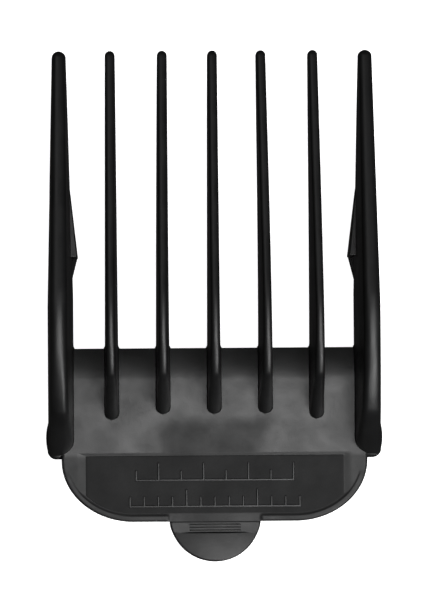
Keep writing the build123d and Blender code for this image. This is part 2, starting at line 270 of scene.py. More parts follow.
def slope_z(y):
    """Height of the plate's upper face along the comb, with its rounded front slope."""
    share = np.clip((y - SLOPE_TURN_Y) / (FRONT_EDGE_Y - SLOPE_TURN_Y), 0, 1)
    tail = np.clip((y - SLOPE_TAIL_Y) / (FRONT_EDGE_Y - SLOPE_TAIL_Y), 0, 1)
    front_drop = PLATE_TOP - SEAT_Z - FRONT_LAND - SLOPE_TAIL_DROP
    return PLATE_TOP - SLOPE_TAIL_DROP * tail**2 - front_drop * share**SLOPE_POWER


def crown_edge(y, rear_radius, foot_y):
    """Upper edge of a tooth at y: steep back, arched crown, then a straight slope to the tip."""
    front_y = CROWN_PEAK_Y + CROWN_FRONT_RADIUS * math.sin(CROWN_FRONT_ANGLE)
    front_z = CROWN_Z - CROWN_FRONT_RADIUS * (1 - math.cos(CROWN_FRONT_ANGLE))
    rear_y = CROWN_PEAK_Y - rear_radius * math.sin(CROWN_REAR_ANGLE)
    rear_z = CROWN_Z - rear_radius * (1 - math.cos(CROWN_REAR_ANGLE))
    if y > front_y:
        return front_z - (y - front_y) * math.tan(CROWN_FRONT_ANGLE)
    if y > rear_y:
        radius = CROWN_FRONT_RADIUS if y > CROWN_PEAK_Y else rear_radius
        return CROWN_Z - radius + math.sqrt(radius**2 - (y - CROWN_PEAK_Y) ** 2)
    line = PLATE_TOP + (y - foot_y) * (rear_z - PLATE_TOP) / (rear_y - foot_y)
    above = line - PLATE_TOP
    return PLATE_TOP + 0.5 * (above + math.sqrt(above**2 + FOOT_SOFTNESS**2))


def crown_at(y, rear_radius, foot_y):
    """Height and steepness of the upper edge, with the turn into the steep back rounded."""
    reach = np.linspace(-TURN_SOFTNESS, TURN_SOFTNESS, 7)
    if y < foot_y + 1.5:
        reach = reach * 0.1
    heights = [crown_edge(y + r, rear_radius, foot_y) for r in reach]
    lean = (heights[-1] - heights[0]) / (reach[-1] - reach[0])
    return sum(heights) / len(heights), math.hypot(1, lean)


def tooth_stations(foot_y, turn_y):
    """Places along a tooth where it gets a section: close together where its outline turns."""
    return np.concatenate([
        np.linspace(foot_y - 0.25, foot_y + 0.5, 14, endpoint=False),
        np.linspace(foot_y + 0.5, turn_y + TURN_END, 38, endpoint=False),
        np.linspace(turn_y + TURN_END, FRONT_EDGE_Y - EDGE_BEFORE, 12, endpoint=False),
        np.linspace(FRONT_EDGE_Y - EDGE_BEFORE, FRONT_EDGE_Y + EDGE_AFTER, 13, endpoint=False),
        np.linspace(FRONT_EDGE_Y + EDGE_AFTER, 3.5, 14, endpoint=False),
        np.linspace(3.5, TIP_Y - TIP_STATIONS, 22, endpoint=False),
        tip_stations(),
    ])


def tip_stations():
    """Places of the last sections, ever closer towards the rounded tip."""
    return TIP_Y - TIP_INSET - TIP_STATIONS * (1 - np.sin(np.linspace(0, math.pi / 2, 18)))


def side_points(wall, levels, flare, crown_height, squareness):
    """One side of a section from its underside to the middle of its crown, as (outward, z) pairs.

    wall(z) is how far out the side face is at height z. levels are underside, surface and top.
    """
    bottom, surface, top = levels
    points = []
    for angle in np.linspace(-math.pi / 2, 0, 5):
        inset = EDGE_ROUND * (1 - math.cos(angle))
        points.append((wall(bottom) - inset, bottom + EDGE_ROUND * (1 + math.sin(angle))))
    room = max(top - surface, 1e-4)
    first = math.asin(max(0.0, 1 - room / crown_height) ** (1 / squareness))
    low_crown = top - crown_height * (1 - math.sin(first) ** squareness)
    reach = wall(low_crown) * math.cos(first) ** squareness if first > 0 else wall(SEAT_Z)
    flare = min(flare, room * 0.6)
    lowest = max(low_crown, surface + flare)
    for share in np.linspace(0, 1, 6):
        out = flare * (1 - share)
        rise = flare - math.sqrt(max(0.0, flare**2 - (flare - out) ** 2))
        points.append((min(reach, wall(surface)) + out, surface - ROOT_SINK + rise))
    for share in (0.35, 0.7):
        z = surface + flare + share * max(0.0, lowest - surface - flare)
        points.append((min(reach, wall(z)), z))
    for angle in np.linspace(first, math.pi / 2, 13):
        z = top - crown_height * (1 - math.sin(angle) ** squareness)
        points.append((wall(low_crown) * max(0.0, math.cos(angle)) ** squareness, z))
    return points


def plate_levels(y, bottom_inside):
    """Underside and plate surface that a tooth's section sits between at y."""
    rise = (TIP_BOTTOM - SEAT_Z) * float(smoothstep(TIP_Y - TIP_RELIEF, TIP_Y, y))
    if y < FRONT_EDGE_Y:
        return SEAT_Z + bottom_inside, float(slope_z(y))
    return SEAT_Z + rise, SEAT_Z + rise + 2 * EDGE_ROUND


def root_flare(y):
    """Radius of the fillet at a tooth's root, which ends with the plate."""
    return ROOT_FILLET * (1 - float(smoothstep(FRONT_EDGE_Y - 0.1, FRONT_EDGE_Y + 0.5, y)))


def tip_scale(y, length):
    """Share of its full size that a tooth's section has near the rounded tip."""
    past = max(0.0, (y - (TIP_Y - length)) / length)
    return math.sqrt(max(0.0, 1 - past**2))


def tip_pinch(section, y):
    """Shrink a section towards its middle height near the tip, so that the tip is round."""
    share = tip_scale(y, TIP_HALF_HEIGHT)
    middle = 0.5 * (min(z for _, z in section) + max(z for _, z in section))
    return [(x, middle + (z - middle) * share) for x, z in section]


def make_tooth_skin(index):
    """Moulded surface of a middle tooth, with a round crown, drafted sides and a filleted root."""
    node = f"tooth_{index}"
    low, high = box_mm(node)
    x = (low[0] + high[0]) / 2
    foot_y = low[1]
    root_half = (high[0] - low[0]) / 2
    rings = []
    for y in tooth_stations(foot_y, CROWN_PEAK_Y - TOOTH_REAR_RADIUS * math.sin(CROWN_REAR_ANGLE)):
        share = (y - foot_y) / (TIP_Y - foot_y)
        half = (root_half + (TOOTH_TIP_HALF - root_half) * share) * tip_scale(y, TOOTH_TIP_HALF)
        top, lean = crown_at(y, TOOTH_REAR_RADIUS, foot_y)
        bottom, surface = plate_levels(y, 0.1)
        flare = root_flare(y)

        def wall(z):
            return max(LEAST_HALF, half - max(0.0, z - SEAT_Z) * TOOTH_DRAFT)

        crown_height = max(0.05, wall(top)) * min(lean, 3.0)
        side = side_points(wall, (bottom, surface, top), flare, crown_height, TOOTH_SQUARENESS)
        middle = x + TOOTH_LEAN[index - 1] * float(smoothstep(FRONT_EDGE_Y, 2 * TIP_Y, y)) * 2
        section = [(middle + out, z) for out, z in side] + [(middle - out, z) for out, z in side[-2::-1]]
        rings.append([(px, y, pz) for px, pz in tip_pinch(section, y)])
    return loft(node + "_skin", rings)


# ---------------------------------------------------------------- outer teeth and side walls

def arm_outer(y):
    """Outer face of the right outer tooth at its foot."""
    share = max(0.0, (y - ARM_STRAIGHT_Y) / (TIP_Y - ARM_STRAIGHT_Y))
    rounding = ARM_OUTER_CORNER - round_over(ARM_REAR_Y + ARM_OUTER_CORNER - y, ARM_OUTER_CORNER)
    return ARM_OUTER_X + share * (ARM_TIP_OUTER_X - ARM_OUTER_X) - rounding


def arm_inner(y):
    """Inner face of the right outer tooth at its foot."""
    share = max(0.0, (y - LEDGE_END_Y) / (TIP_Y - LEDGE_END_Y))
    rounding = ARM_INNER_CORNER - round_over(ARM_REAR_Y + ARM_INNER_CORNER - y, ARM_INNER_CORNER)
    return ARM_INNER_X + share * (ARM_TIP_INNER_X - ARM_INNER_X) + rounding


def round_over(past, radius):
    """Height left of a quarter circle at a distance past its start."""
    past = min(max(past, 0.0), radius)
    return math.sqrt(radius**2 - past**2)


def skirt_low(y):
    """Lower edge of the side wall: on the rest plane, then a ramp up to the tooth's underside."""
    ramp_start = STOP_Y + STOP_FOOT
    return SEAT_Z * min(1.0, max(0.0, (y - ramp_start) / (RAMP_Y - ramp_start)))


def arm_stations():
    """Places along an outer tooth where it gets a section."""
    turn_y = CROWN_PEAK_Y - ARM_REAR_RADIUS * math.sin(CROWN_REAR_ANGLE)
    return np.concatenate([
        ARM_REAR_Y + 0.01 + ARM_INNER_CORNER * (1 - np.cos(np.linspace(0, math.pi / 2, 14)[:-1])),
        np.linspace(ARM_REAR_Y + ARM_INNER_CORNER, turn_y + TURN_END, 26, endpoint=False),
        np.linspace(turn_y + TURN_END, FRONT_EDGE_Y - EDGE_BEFORE, 18, endpoint=False),
        np.linspace(FRONT_EDGE_Y - EDGE_BEFORE, FRONT_EDGE_Y + EDGE_AFTER, 13, endpoint=False),
        np.linspace(FRONT_EDGE_Y + EDGE_AFTER, RAMP_Y + 1, 30, endpoint=False),
        np.linspace(RAMP_Y + 1, TIP_Y - TIP_STATIONS, 20, endpoint=False),
        tip_stations(),
    ])


def make_arm_skin(side_name, side):
    """Moulded surface of an outer tooth and the side wall under it."""
    node = f"outer_tooth_{side_name}"
    rings = []
    for y in arm_stations():
        scale = tip_scale(y, ARM_TIP_ROUND)
        outer, inner = arm_outer(y), arm_inner(y)
        middle = (outer + inner) / 2
        outer, inner = middle + (outer - middle) * scale, middle - (middle - inner) * scale
        top, lean = crown_at(y, ARM_REAR_RADIUS, ARM_REAR_Y)
        bottom, surface = plate_levels(y, 0.02)
        flare = root_flare(y)
        flare = min(flare, (outer - inner) / 2)
        shift = min(RIDGE_SHIFT, 0.2 * (outer - inner)) * float(smoothstep(*RIDGE_TURN, y))
        crown_middle = (outer + inner) / 2 - shift

        def wall_in(z):
            return max(LEAST_HALF, crown_middle - inner - max(0.0, z - SEAT_Z) * ARM_DRAFT)

        def wall_out(z):
            return max(LEAST_HALF, outer - crown_middle - max(0.0, z - SEAT_Z) * ARM_DRAFT)

        crown_height = min(ARM_CROWN_HEIGHT * min(lean, 2.2), top - bottom - 0.3)
        crown_height = max(0.05, min(crown_height, 0.95 * (top - bottom)))
        levels = (bottom, surface, top)
        inner_side = side_points(wall_in, levels, flare, crown_height, ARM_SQUARENESS)
        outer_levels = (bottom, bottom + 2 * EDGE_ROUND, top)
        outer_side = side_points(wall_out, outer_levels, 0.0, crown_height, ARM_SQUARENESS)
        low = min(skirt_low(y), bottom)
        section = [(crown_middle + out, z) for out, z in outer_side]
        if scale == 1:
            section[:5] = skirt_edge(outer, low)
        around = section + [(crown_middle - out, z) for out, z in inner_side[-2::-1]]
        around += skirt_inside(inner, outer, bottom, low)
        if scale < 1:
            around = tip_pinch(around, y)
        rings.append([(side * px, y, pz) for px, pz in around])
    made = loft(node + "_skin", rings)
    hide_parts(node, f"side_skirt_{side_name}")
    return made


def skirt_edge(outer, low):
    """Rounded lower outside edge of the side wall, from its underside round to its face."""
    points = []
    for angle in np.linspace(-math.pi / 2, 0, 5):
        inset = SKIRT_ROUND * (1 - math.cos(angle))
        points.append((outer - inset, low + SKIRT_ROUND * (1 + math.sin(angle))))
    return points


def skirt_inside(inner, outer, bottom, low):
    """Inner face of the side wall, from the tooth's underside down to the rest plane."""
    width = outer - inner
    pocket = min(max(POCKET_X, inner + 0.3), outer - 0.3 * width)
    height = bottom - low
    return [
        (pocket, bottom - 0.002 - 0.02 * height),
        (pocket, low + SKIRT_ROUND * min(1.0, height)),
        (min(pocket + SKIRT_ROUND, outer - 0.15 * width), low),
    ]


# ---------------------------------------------------------------- plate, panel and tab

def plate_half(y, inset=0.0):
    """Half width of the plate at y, or of a copy of its outline further in."""
    side_x = PLATE_SIDE_X - inset
    past = np.clip((CORNER_Y - y) / (CORNER_Y - REAR_EDGE_Y - inset), 0, 1)
    return CORNER_X + (side_x - CORNER_X) * np.sqrt(1 - past**2)


def distance_inside(x, y):
    """How far points of the plate are from its side and rear edges."""
    x_radius, y_radius = PLATE_SIDE_X - CORNER_X, CORNER_Y - REAR_EDGE_Y
    along = np.maximum(np.abs(x) - CORNER_X, 0) / x_radius
    back = np.maximum(CORNER_Y - y, 0) / y_radius
    size = np.sqrt(along**2 + back**2) + 1e-9
    gradient = np.sqrt((along / x_radius) ** 2 + (back / y_radius) ** 2) / size + 1e-9
    corner = (1 - size) / gradient
    straight = np.minimum(PLATE_SIDE_X - np.abs(x), y - REAR_EDGE_Y)
    return np.clip(np.where((along > 0) & (back > 0), corner, straight), 0, 50)


def in_panel(x, y, inset):
    """Signed distance into the sunken panel, positive inside."""
    sides = (PANEL_HALF - np.abs(x)) * PANEL_SIDE_SOFTNESS
    front = PANEL_FRONT_Y - y
    rear = distance_inside(x, y) - RIM_INSET
    return np.minimum(np.minimum(sides, front), rear) - inset


def in_opening(x, y):
    """1 in the gap in the rim, where the panel's level runs on to the tab, and 0 elsewhere."""
    across = smoothstep(RIM_OPENING + 0.3, RIM_OPENING - 0.1, np.abs(x))
    return across * smoothstep(PANEL_REAR_Y + 0.4, PANEL_REAR_Y, y)


def plate_surface(x, y):
    """Height of the plate's upper face with its panel, rim and the shallow sunken patch."""
    z = slope_z(y)
    edge = distance_inside(x, y)
    opening = in_opening(x, y)
    rim = RIM_HEIGHT * smoothstep(RIM_INSET, RIM_INSET - RIM_FADE, edge)
    rim = rim * smoothstep(RIM_FRONT_Y, RIM_FRONT_Y - RIM_FRONT_FADE, y)
    rim = rim * (1 - opening)
    panel = smoothstep(-PANEL_EDGE / 2, PANEL_EDGE / 2, in_panel(x, y, 0))
    # a very shallow sink behind the teeth, narrower towards the panel
    back = np.clip((PATCH_FRONT_Y - y) / (PATCH_FRONT_Y - PANEL_FRONT_Y), 0, 1)
    right = PATCH_RIGHT_FRONT + (PATCH_RIGHT_REAR - PATCH_RIGHT_FRONT) * back
    left = PATCH_LEFT_FRONT + (PATCH_LEFT_REAR - PATCH_LEFT_FRONT) * back
    patch = smoothstep(-PATCH_FADE, PATCH_FADE, x - left) * smoothstep(-PATCH_FADE, PATCH_FADE, right - x)
    patch = patch * smoothstep(PATCH_FRONT_Y, PATCH_FULL_Y, y)
    patch = patch * smoothstep(PANEL_FRONT_Y, PANEL_FRONT_Y + 0.5, y)
    waves = WAVE_HEIGHT * np.sin(0.33 * x + 0.4) * np.sin(0.5 * y + 1.1)
    z = z + rim - (PANEL_DEPTH + PANEL_BED) * panel * (1 - opening) - PANEL_DEPTH * opening
    z = z - PATCH_SINK * patch + waves * (1 - panel) * (1 - opening)
    drop = PLATE_ROUND - np.sqrt(np.maximum(0, PLATE_ROUND**2 - np.clip(PLATE_ROUND - edge, 0, None) ** 2))
    return z - drop * (1 - opening)


def plate_rows():
    """Y of the plate's rows, close together at the front slope, panel edges and rear edge."""
    corner = np.concatenate([np.linspace(0, 1.2, 40, endpoint=False), np.linspace(1.2, math.pi / 2, 40)])
    return np.concatenate([
        np.linspace(FRONT_EDGE_Y, FRONT_EDGE_Y - 0.4, 5, endpoint=False),
        np.linspace(FRONT_EDGE_Y - 0.4, SLOPE_TOP_Y - 0.5, 26, endpoint=False),
        np.linspace(SLOPE_TOP_Y - 0.5, -17.0, 14, endpoint=False),
        np.linspace(-17.0, PANEL_FRONT_Y + 0.4, 34, endpoint=False),
        np.linspace(PANEL_FRONT_Y + 0.4, PANEL_FRONT_Y - 0.4, 20, endpoint=False),
        np.linspace(PANEL_FRONT_Y - 0.4, CORNER_Y, 6, endpoint=False),
        CORNER_Y + (REAR_EDGE_Y - CORNER_Y) * np.sin(corner),
    ])


def plate_columns():
    """Share of the half width of each column, close together near the sides."""
    middle = np.linspace(-0.82, 0.82, 110, endpoint=False)
    last = 1 - 0.015 * (1 - np.linspace(0, 1, 9)) ** 1.5
    right = np.concatenate([np.linspace(0.82, 0.985, 44, endpoint=False), last])
    return np.concatenate([-right[::-1], middle[1:], right])


def sheet_solid(name, x, y, z, bottom):
    """A closed solid under a grid of heights, flat underneath at bottom with a small rounding."""
    rows, columns = x.shape
    top = np.stack([x, y, z], axis=-1).reshape(-1, 3)
    faces = []
    for i in range(rows - 1):
        for j in range(columns - 1):
            a = i * columns + j
            faces.append((a, a + 1, a + columns + 1, a + columns))
    rim = list(range(columns)) + [i * columns + columns - 1 for i in range(1, rows)]
    rim += [(rows - 1) * columns + j for j in range(columns - 2, -1, -1)]
    rim += [i * columns for i in range(rows - 2, 0, -1)]
    edge = top[rim]
    centre = edge.mean(axis=0)
    points = [top]
    start = len(top)
    for inset, lift in SHEET_ROUNDING:
        ring = edge.copy()
        pull = centre[:2] - ring[:, :2]
        pull /= np.linalg.norm(pull, axis=1)[:, None]
        ring[:, :2] += pull * inset
        ring[:, 2] = np.minimum(bottom + lift, ring[:, 2] - 0.02 * (1 + lift))
        points.append(ring)
    count = len(rim)
    rings = [rim]
    rings += [list(range(start + k * count, start + (k + 1) * count)) for k in range(len(SHEET_ROUNDING))]
    for upper, lower in zip(rings, rings[1:]):
        for j in range(count):
            k = (j + 1) % count
            faces.append((upper[j], upper[k], lower[k], lower[j]))
    faces.append(tuple(rings[-1]))
    made = mesh_object(name, np.concatenate(points), faces)
    recalculate_normals(made)
    keep_flats(made)
    return made


def make_plate_skin():
    """Moulded plate: front slope, flat web, recess for the panel, rim and rounded edges."""
    y = plate_rows()[:, None] * np.ones(len(plate_columns()))
    x = plate_half(y) * plate_columns()
    made = sheet_solid("base_plate_skin", x, y, plate_surface(x, y), SEAT_Z)
    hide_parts("base_plate", "front_slope", "panel_rim")
    return made


def make_panel_skin():
    """Textured floor of the sunken panel, a little inside the recess."""
    gap = PANEL_GAP
    corner = np.sin(np.linspace(0, math.pi / 2, 60))
    front = PANEL_FRONT_Y - gap
    y = np.concatenate([
        front - 0.1 * np.linspace(0, 1, 4) ** 1.5,
        np.linspace(front - 0.2, CORNER_Y, 6, endpoint=False),
        CORNER_Y + (REAR_EDGE_Y + RIM_INSET + gap - CORNER_Y) * corner,
    ])
    y = y[:, None] * np.ones(90)
    half = np.minimum(PANEL_HALF - gap, plate_half(y, RIM_INSET + gap))
    x = half * np.sin(np.linspace(-math.pi / 2, math.pi / 2, 90))
    inside = in_panel(x, y, gap)
    z = PLATE_TOP - PANEL_DEPTH - PANEL_BED * (1 - np.clip(inside / 0.15, 0, 1)) ** 2
    made = sheet_solid("label_panel_skin", x, y, z, SEAT_Z + 0.4)
    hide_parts("label_panel")
    return made


def tab_end_radius():
    """Radius of the tab's round end."""
    drop = TAB_SHOULDER_Y - TAB_END_Y
    return (TAB_SHOULDER_HALF**2 + drop**2) / (2 * drop)


def tab_half(y):
    """Half width of the release tab at y."""
    root_half, root_y = tab_high[0], tab_high[1]
    if y > TAB_SHOULDER_Y:
        share = (root_y - y) / (root_y - TAB_SHOULDER_Y)
        return root_half - (root_half - TAB_SHOULDER_HALF) * share**1.6
    radius = tab_end_radius()
    past = TAB_END_Y + radius - y
    return math.sqrt(max(0.0, radius**2 - past**2))


def tab_surface(x, y):
    """Height of the tab's upper face: a thin root, a step, and a crowned thumb pad."""
    step = smoothstep(PAD_FRONT_Y + 0.12, PAD_FRONT_Y - 0.12, y)
    rise = np.clip((PAD_FRONT_Y - y) / (PAD_FRONT_Y - TAB_END_Y), 0, 1)
    pad = PAD_STEP + (pad_high[2] - PLATE_TOP - PAD_STEP) * (1 - (1 - rise) ** 2)
    root = smoothstep(REAR_EDGE_Y - 0.2, REAR_EDGE_Y + 0.3, y)
    return PLATE_TOP - TAB_SINK - (PANEL_DEPTH + 0.1) * root + step * pad - PAD_HOLLOW * x**2 * step


def make_tab_skin():
    """Release tab from its thin flexing root to its round end, in one skin."""
    pad_length = TAB_END_Y + 0.001 - PAD_FRONT_Y + 0.2
    rows = np.concatenate([
        np.linspace(REAR_EDGE_Y + 0.6, PAD_FRONT_Y + 0.2, 24, endpoint=False),
        np.linspace(PAD_FRONT_Y + 0.2, PAD_FRONT_Y - 0.2, 14, endpoint=False),
        PAD_FRONT_Y - 0.2 + pad_length * np.sin(np.linspace(0, math.pi / 2, 44)),
    ])
    columns = np.sin(np.linspace(-math.pi / 2, math.pi / 2, 80))
    y = rows[:, None] * np.ones(80)
    half = np.array([tab_half(min(v, tab_high[1])) for v in rows])[:, None] * np.ones(80)
    x = half * columns
    z = tab_surface(x, y)
    radius = tab_end_radius()
    to_arc = radius - np.hypot(x, y - (TAB_END_Y + radius))
    edge = np.clip(np.where(y > TAB_SHOULDER_Y, half - np.abs(x), to_arc), 0, None)
    z -= TAB_ROUND - np.sqrt(np.maximum(0, TAB_ROUND**2 - np.clip(TAB_ROUND - edge, 0, None) ** 2))
    made = sheet_solid("release_tab_skin", x, y, z, tab_low[2])
    apply_modifiers(made)
    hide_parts("release_tab", "thumb_pad")
    hinge_z = PLATE_TOP * MM
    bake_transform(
        made,
        "comb",
        "latch",
        start=(0, (REAR_EDGE_Y + 0.15) * MM, hinge_z),
        end=(0, (REAR_EDGE_Y - 0.35) * MM, hinge_z),
    )
    return made


# ---------------------------------------------------------------- smaller pieces

def rounded_block(name, corners, width):
    """A block from 4 lower and 4 upper corners, with all its edges rounded."""
    faces = [(0, 1, 2, 3), (4, 5, 6, 7), (0, 1, 5, 4), (1, 2, 6, 5), (2, 3, 7, 6), (3, 0, 4, 7)]
    made = mesh_object(name, corners, faces)
    recalculate_normals(made)
    bevel = made.modifiers.new("bevel", "BEVEL")
    bevel.width = width * MM
    bevel.segments = 4
    bevel.limit_method = "NONE"
    apply_modifiers(made)
    made.data.polygons.foreach_set("use_smooth", [True] * len(made.data.polygons))
    keep_flats(made)
    return made


def make_stop_skin(side_name, side):
    """Blade stop: a wedge with a flat rear face and ramps in front and below."""
    node = f"blade_stop_{side_name}"
    low, high = box_mm(node)
    inner_rear = min(abs(low[0]), abs(high[0]))
    inner_front = arm_inner(RAMP_Y)
    buried = POCKET_X + 0.4
    low_front, high_front = skirt_low(RAMP_Y) - 0.6, SEAT_Z + STOP_RAMP - 0.1
    corners = [
        (inner_rear, STOP_Y, 0.02), (buried, STOP_Y, 0.02),
        (buried, RAMP_Y, low_front), (inner_front, RAMP_Y, low_front),
        (inner_rear, STOP_Y, high[2]), (buried, STOP_Y, high[2]),
        (buried, RAMP_Y, high_front), (inner_front, RAMP_Y, high_front),
    ]
    made = rounded_block(node + "_skin", [(side * x, y, z) for x, y, z in corners], STOP_ROUND)
    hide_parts(node)
    return made


def make_ledge_skin(side_name, side):
    """Shelf under the blade's front corner, tapering back into the side wall."""
    node = f"blade_ledge_{side_name}"
    low, high = box_mm(node)
    inner_front = min(abs(low[0]), abs(high[0]))
    inner_rear = POCKET_X - 1.6
    front_y, buried = STOP_Y + 0.4, POCKET_X + 0.5
    plan = [(inner_front, front_y), (buried, front_y), (buried, low[1]), (inner_rear, low[1])]
    corners = [(side * x, y, low[2]) for x, y in plan] + [(side * x, y, high[2]) for x, y in plan]
    made = rounded_block(node + "_skin", corners, LEDGE_ROUND)
    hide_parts(node)
    return made


def make_ear_skin(side_name, side):
    """Low rounded bulge outside the rear end of a side wall."""
    node = f"side_ear_{side_name}"
    low, high = box_mm(node)
    ear_x = max(abs(low[0]), abs(high[0]))
    rear_y = low[1] + 0.02
    centre = (ear_x - 0.2 - EAR_CORNER_RADIUS, rear_y + EAR_CORNER_RADIUS)
    diagonal = EAR_CORNER_RADIUS * math.sqrt(0.5)
    turn = (centre[0] + EAR_CORNER_RADIUS, centre[1])
    corner = (centre[0] + diagonal, centre[1] - diagonal)
    outline = arc_points((ARM_OUTER_X - 0.1, high[1] + 0.3), (ear_x, EAR_MIDDLE_Y), turn, 14)
    outline += arc_points(turn, corner, (centre[0], rear_y), 12)[1:]
    outline += [(PLATE_SIDE_X - 0.4, rear_y)]
    inner = np.array([(PLATE_SIDE_X - 0.8, ARM_REAR_Y + 0.4), (ARM_OUTER_X - 1.0, high[1] + 0.3)])
    outline = np.concatenate([np.array(outline), inner])
    heart = np.array([ear_x - 1.6, -20.5])
    rings = []
    for angle in np.linspace(-math.pi / 2, math.pi / 2, 13):
        radius = SKIRT_ROUND if angle < 0 else EAR_ROUND
        inset = radius * (1 - math.cos(angle))
        z = radius * (1 + math.sin(angle)) if angle < 0 else high[2] - radius * (1 - math.sin(angle))
        pull = heart - outline
        ring = outline + pull / np.linalg.norm(pull, axis=1)[:, None] * inset
        rings.append([(side * px, py, z) for px, py in ring])
    made = loft(node + "_skin", rings)
    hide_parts(node)
    return made


def arc_points(start, middle, end, count):
    """Points on the circle arc through three points."""
    (ax, ay), (bx, by), (cx, cy) = start, middle, end
    d = 2 * (ax * (by - cy) + bx * (cy - ay) + cx * (ay - by))
    ux = ((ax**2 + ay**2) * (by - cy) + (bx**2 + by**2) * (cy - ay) + (cx**2 + cy**2) * (ay - by)) / d
    uy = ((ax**2 + ay**2) * (cx - bx) + (bx**2 + by**2) * (ax - cx) + (cx**2 + cy**2) * (bx - ax)) / d
    radius = math.hypot(ax - ux, ay - uy)
    first = math.atan2(ay - uy, ax - ux)
    last = math.atan2(cy - uy, cx - ux)
    turn = (last - first + math.pi) % (2 * math.pi) - math.pi
    angles = [first + turn * k / (count - 1) for k in range(count)]
    return [(ux + radius * math.cos(angle), uy + radius * math.sin(angle)) for angle in angles]


def rounded_bar(name, start, end, width, base, height):
    """A low raised bar with a half-round section and round ends, lying along a line."""
    start, end = np.array(start, float), np.array(end, float)
    along = (end - start) / np.linalg.norm(end - start)
    across = np.array([-along[1], along[0]])
    rings = []
    for angle in np.linspace(-math.pi / 2, math.pi / 2, 15):
        reach = math.cos(angle)
        centre = (end if angle > 0 else start) + along * (width / 2) * (math.sin(angle))
        ring = []
        for k in range(13):
            turn = math.pi * k / 12
            place_on_plan = centre + across * (width / 2) * reach * math.cos(turn)
            ring.append((*place_on_plan, base + height * reach * math.sin(turn)))
        ring.append((*centre, base - 0.05 * reach))
        rings.append(ring)
    return loft(name, rings)


def joined(name, objects):
    """Several meshes as one object."""
    mesh = bmesh.new()
    for obj in objects:
        mesh.from_mesh(obj.data)
        bpy.data.objects.remove(obj)
    data = bpy.data.meshes.new(name)
    mesh.to_mesh(data)
    mesh.free()
    data.polygons.foreach_set("use_smooth", [True] * len(data.polygons))
    made = bpy.data.objects.new(name, data)
    bpy.context.scene.collection.objects.link(made)
    return made


def mark_row(count, step, long_every, base_y, base, height):
    """Bars of one row of ticks over a base line, centred on the comb."""
    pitch = step * MARK_SCALE
    end = (count - 1) * pitch / 2
    bars = [rounded_bar("bar", (-end, base_y), (end, base_y), MARK_WIDTH, base, height)]
    for number in range(1, count + 1):
        x = (number - 1) * pitch - end
        length = MARK_LONG_LENGTH if number % long_every == 0 else MARK_LENGTH
        end_y = base_y + length - MARK_WIDTH / 2
        bars.append(rounded_bar("bar", (x, base_y), (x, end_y), MARK_WIDTH, base, height))
    return bars


def make_size_marks():
    """Two raised rows of ticks on the panel, in millimetres and in sixteenths of an inch."""
    base = PLATE_TOP - PANEL_DEPTH
    height = box_mm("size_marks")[1][2] - base
    bars = mark_row(*FINE_MARKS, base, height) + mark_row(*COARSE_MARKS, base, height)
    made = joined("size_marks_skin", bars)
    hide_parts("size_marks")
    return made


def make_grip_ribs():
    """Three fine ribs across the root of the tab."""
    low, high = box_mm("grip_ribs")
    width = GRIP_RIB_WIDTH
    bars = []
    base, height = PLATE_TOP - GRIP_RIB_SINK, high[2] - PLATE_TOP + GRIP_RIB_SINK
    for k in range(GRIP_RIB_COUNT):
        y = low[1] + width / 2 + (high[1] - low[1] - width) * k / (GRIP_RIB_COUNT - 1)
        start, end = (low[0] + width / 2, y), (high[0] - width / 2, y)
        bars.append(rounded_bar("bar", start, end, width, base, height))
    made = joined("grip_ribs_skin", bars)
    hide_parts("grip_ribs")
    return made


# ---------------------------------------------------------------- materials

